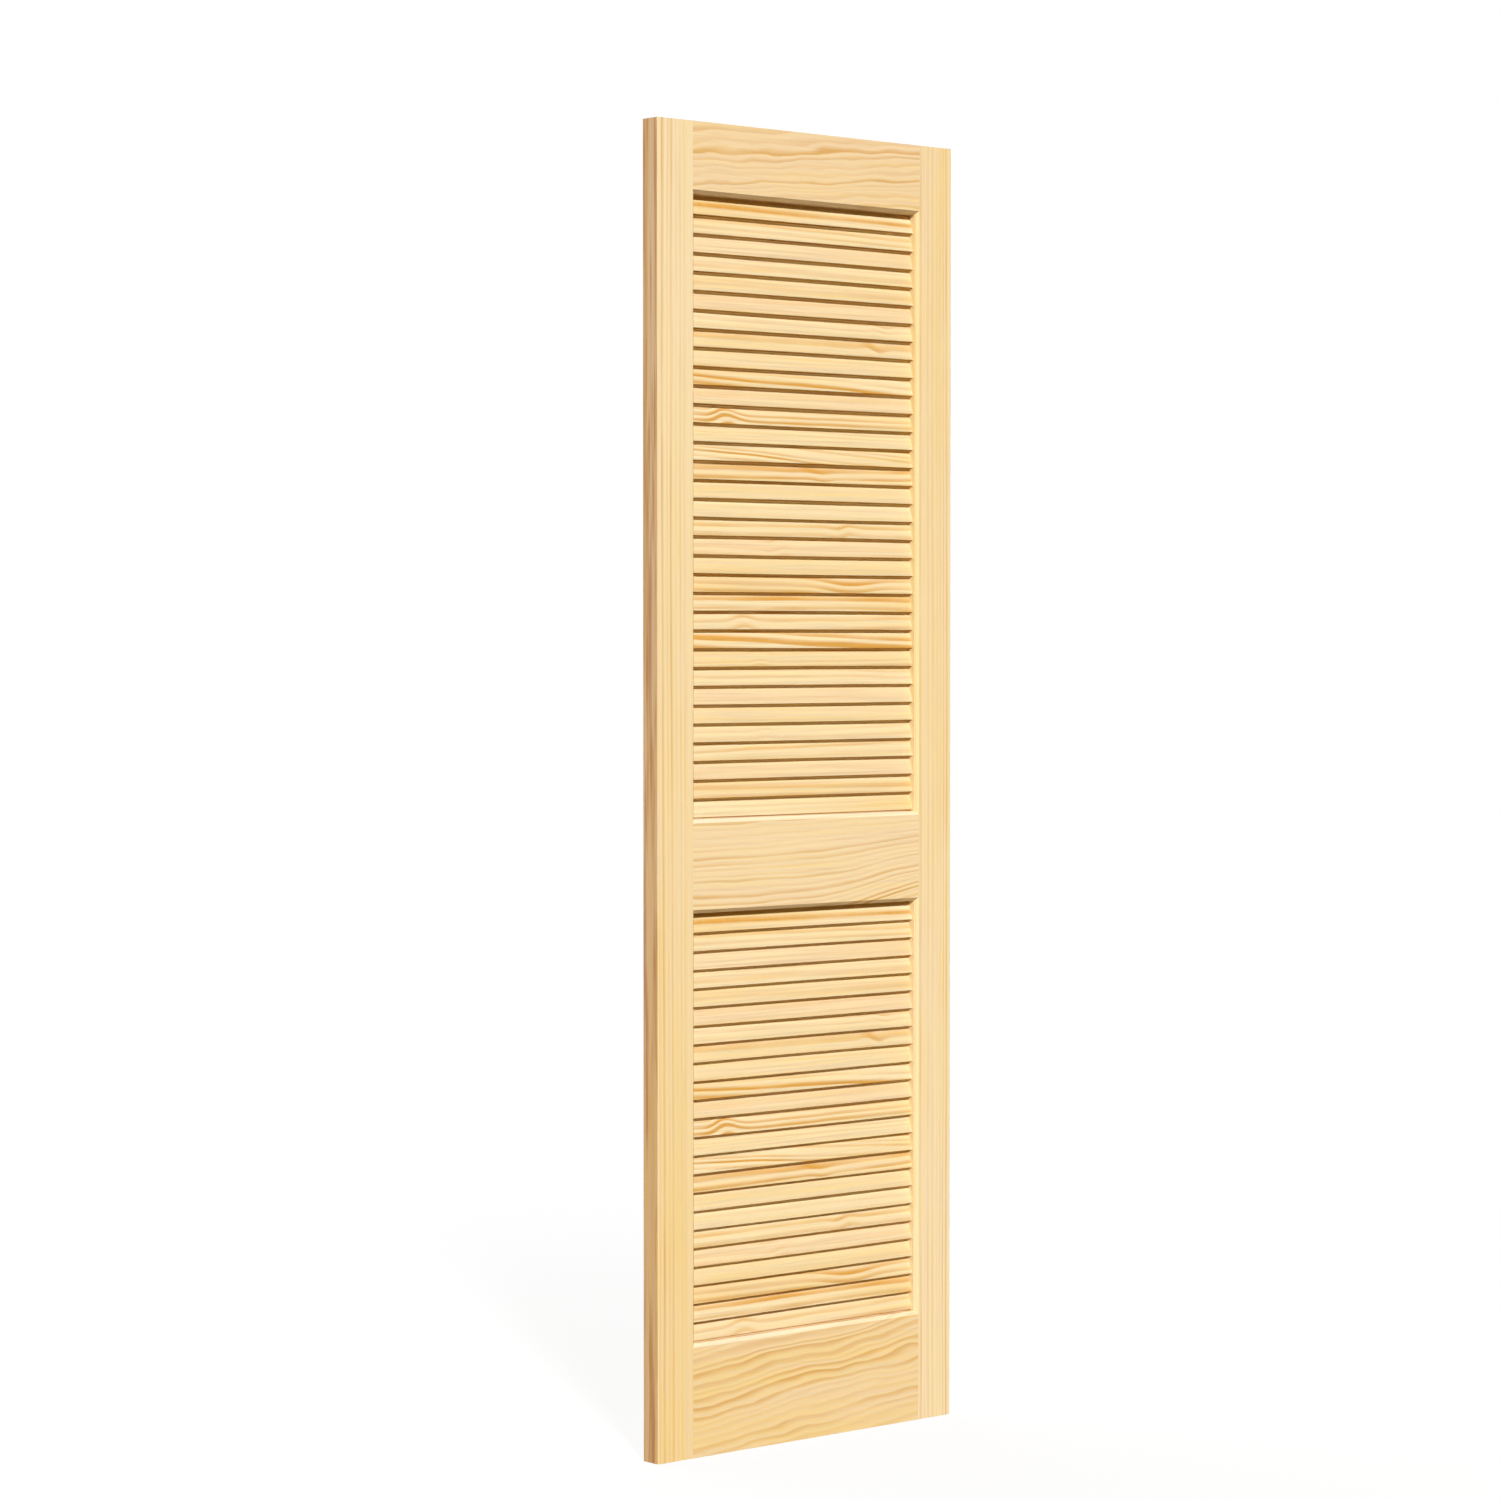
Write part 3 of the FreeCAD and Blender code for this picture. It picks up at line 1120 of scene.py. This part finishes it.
@dataclass
class Studio:
    """The camera, the lights, the white surroundings and the floor.

    A light's span gives where it starts and where it is whole, as a part of a direction of length 1.

    Attributes:
        picture: width of the square picture, in pixels.
        focal_pixels: the lens's focal length, in those pixels.
        sensor: width of the camera's sensor, in millimetres.
        camera_place: where the camera stands.
        camera_turn: how far it looks to the right of straight ahead.
        camera_tip: how far it looks up.
        key_from: the direction that the key light comes from.
        key_softness: the angle that the key light fills.
        key_strength: the key light's strength.
        ambient: strength of the light from all round.
        ambient_colour: its colour.
        fill: strength of the white light from behind.
        behind_back: span backwards of that light.
        behind_up: its span upwards.
        beside_share: strength of the white light from the right, in shares of the other.
        beside_right: span of that light to the right.
        beside_back: its span backwards.
        beside_up: its span upwards.
        whitens: amounts of white light at which the light's colour starts to turn white and is white.
        floor_size: width of the floor.
        floor_shown: the floor's colour to the eye.
        floor_bounce: the colour of the light that it throws on the door.
        floor_glow: share of the floor beside the door that glows white, which keeps the shadow faint.
        shadow_span: how far from the door the shadows start to fade and are gone.
    """

    picture: float = 1500.0
    focal_pixels: float = 4019.76
    sensor: float = 36.0
    camera_place: tuple[float, float, float] = (-4.1615, -4.6826, 1.2462)
    camera_turn: float = math.radians(40.897)
    camera_tip: float = math.radians(-1.5557)
    key_from: tuple[float, float, float] = (-0.42, -0.755, 0.50)
    key_softness: float = math.radians(6.0)
    key_strength: float = 3.86
    ambient: float = 0.05
    ambient_colour: Colour = srgb(255, 212, 100)
    fill: float = 4.6
    behind_back: Span = (0.45, 0.9)
    behind_up: Span = (0.0, 0.6)
    beside_share: float = 0.7
    beside_right: Span = (0.6, 0.95)
    beside_back: Span = (-0.1, 0.3)
    beside_up: Span = (-0.1, 0.3)
    whitens: Span = (0.0, 0.1)
    floor_size: float = 40.0
    floor_shown: Colour = srgb(250, 250, 250)
    floor_bounce: Colour = srgb(88, 70, 26)
    floor_glow: float = 0.9
    shadow_span: Span = (0.5, 3.0)

    def build(self) -> None:
        """Set up the whole studio."""
        bpy.context.scene.view_settings.view_transform = "Standard"
        self.make_camera()
        self.make_key()
        self.make_world()
        self.make_floor()

    def make_camera(self) -> None:
        """Stand the camera where the door fills the picture as it should."""
        data = bpy.data.cameras.new("camera")
        data.sensor_width = self.sensor
        data.lens = self.focal_pixels / self.picture * self.sensor
        camera = bpy.data.objects.new("camera", data)
        camera.location = self.camera_place
        camera.rotation_euler = Euler((math.pi / 2 + self.camera_tip, 0.0, -self.camera_turn))
        bpy.context.scene.collection.objects.link(camera)
        bpy.context.scene.camera = camera

    def make_key(self) -> None:
        """Light the door evenly from one broad lamp far off, high and to the left."""
        data = bpy.data.lights.new("key", "SUN")
        data.angle = self.key_softness
        data.energy = self.key_strength
        key = bpy.data.objects.new("key", data)
        key.rotation_euler = Vector(self.key_from).to_track_quat("Z", "Y").to_euler()
        bpy.context.scene.collection.objects.link(key)

    @staticmethod
    def seen(graph: Graph) -> Wire:
        """Tell the rays that show the surroundings from those that only light the door.

        Args:
            graph: the node tree that asks.

        Returns:
            1 for a ray that shows them, and otherwise 0.
        """
        node = graph.add("ShaderNodeLightPath").socket.node
        names = ("Is Camera Ray", "Is Glossy Ray", "Is Transmission Ray")
        camera, glossy, through = (Wire(graph, node.outputs[name]) for name in names)
        return (camera + glossy + through).between(0.0, 1.0)

    def make_world(self) -> None:
        """Surround the door with white, which lights it softly from behind and from the right."""
        world = bpy.data.worlds.new("surroundings")
        world.use_nodes = True
        bpy.context.scene.world = world
        graph = Graph(world.node_tree)
        right, back, up = graph.split(graph.add("ShaderNodeTexCoord", output="Generated"))
        behind = back.between(*self.behind_back) * up.between(*self.behind_up)
        beside = right.between(*self.beside_right) * back.between(*self.beside_back)
        lit = behind + beside * up.between(*self.beside_up) * self.beside_share
        colour = graph.mix(lit.between(*self.whitens), self.ambient_colour, WHITE)
        strength = lit * self.fill + self.ambient
        soft = graph.add("ShaderNodeBackground", {}, {"Color": colour, "Strength": strength})
        bright = graph.add("ShaderNodeBackground", {}, {"Color": WHITE, "Strength": 1.0})
        blend = graph.add("ShaderNodeMixShader", {}, {0: self.seen(graph), 1: soft, 2: bright})
        graph.feed(world.node_tree.nodes["World Output"], {"Surface": blend})

    def make_floor(self) -> None:
        """Lay a pale floor that keeps a faint shadow."""
        half = self.floor_size / 2
        mesh = bpy.data.meshes.new("floor")
        corners = [(-half, -half, 0.0), (half, -half, 0.0), (half, half, 0.0), (-half, half, 0.0)]
        mesh.from_pydata(corners, [], [(0, 1, 2, 3)])
        mesh.materials.append(self.floor_material())
        floor = bpy.data.objects.new("floor", mesh)
        bpy.context.scene.collection.objects.link(floor)

    def floor_material(self) -> bpy.types.Material:
        """Make the floor's white, which glows a little so that the shadow stays faint.

        Returns:
            The material.
        """
        material = bpy.data.materials.new("floor_white")
        material.use_nodes = True
        graph = Graph(material.node_tree)
        seen = self.seen(graph)
        colour = graph.mix(seen, self.floor_bounce, self.floor_shown)
        matt = graph.add("ShaderNodeBsdfDiffuse", {}, {"Color": colour})
        glow = graph.add("ShaderNodeEmission", {}, {"Strength": 1.0})
        x, y, _ = graph.split(graph.add("ShaderNodeTexCoord", output="Object"))
        away = (x * x + y * y).root().between(*self.shadow_span)
        share = seen * (away * (1 - self.floor_glow) + self.floor_glow)
        blend = graph.add("ShaderNodeMixShader", {}, {0: share, 1: matt, 2: glow})
        graph.feed(material.node_tree.nodes["Material Output"], {"Surface": blend})
        return material


def main() -> None:
    """Load the solids, dress the door and set up the studio."""
    logging.basicConfig(level=logging.INFO, format="%(message)s")
    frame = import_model()
    DoorFrame(PineFinish(), frame["nodes"]).dress()
    wood = SlatPine(SLAT_FINISH).build()
    for panel in Panel:
        nodes = sorted(name for name in frame["nodes"] if name.startswith(panel.value))
        SlatBank(panel, [name for name in nodes if "slat" in name], wood).build()
    Studio().build()


if __name__ == "__main__":
    main()
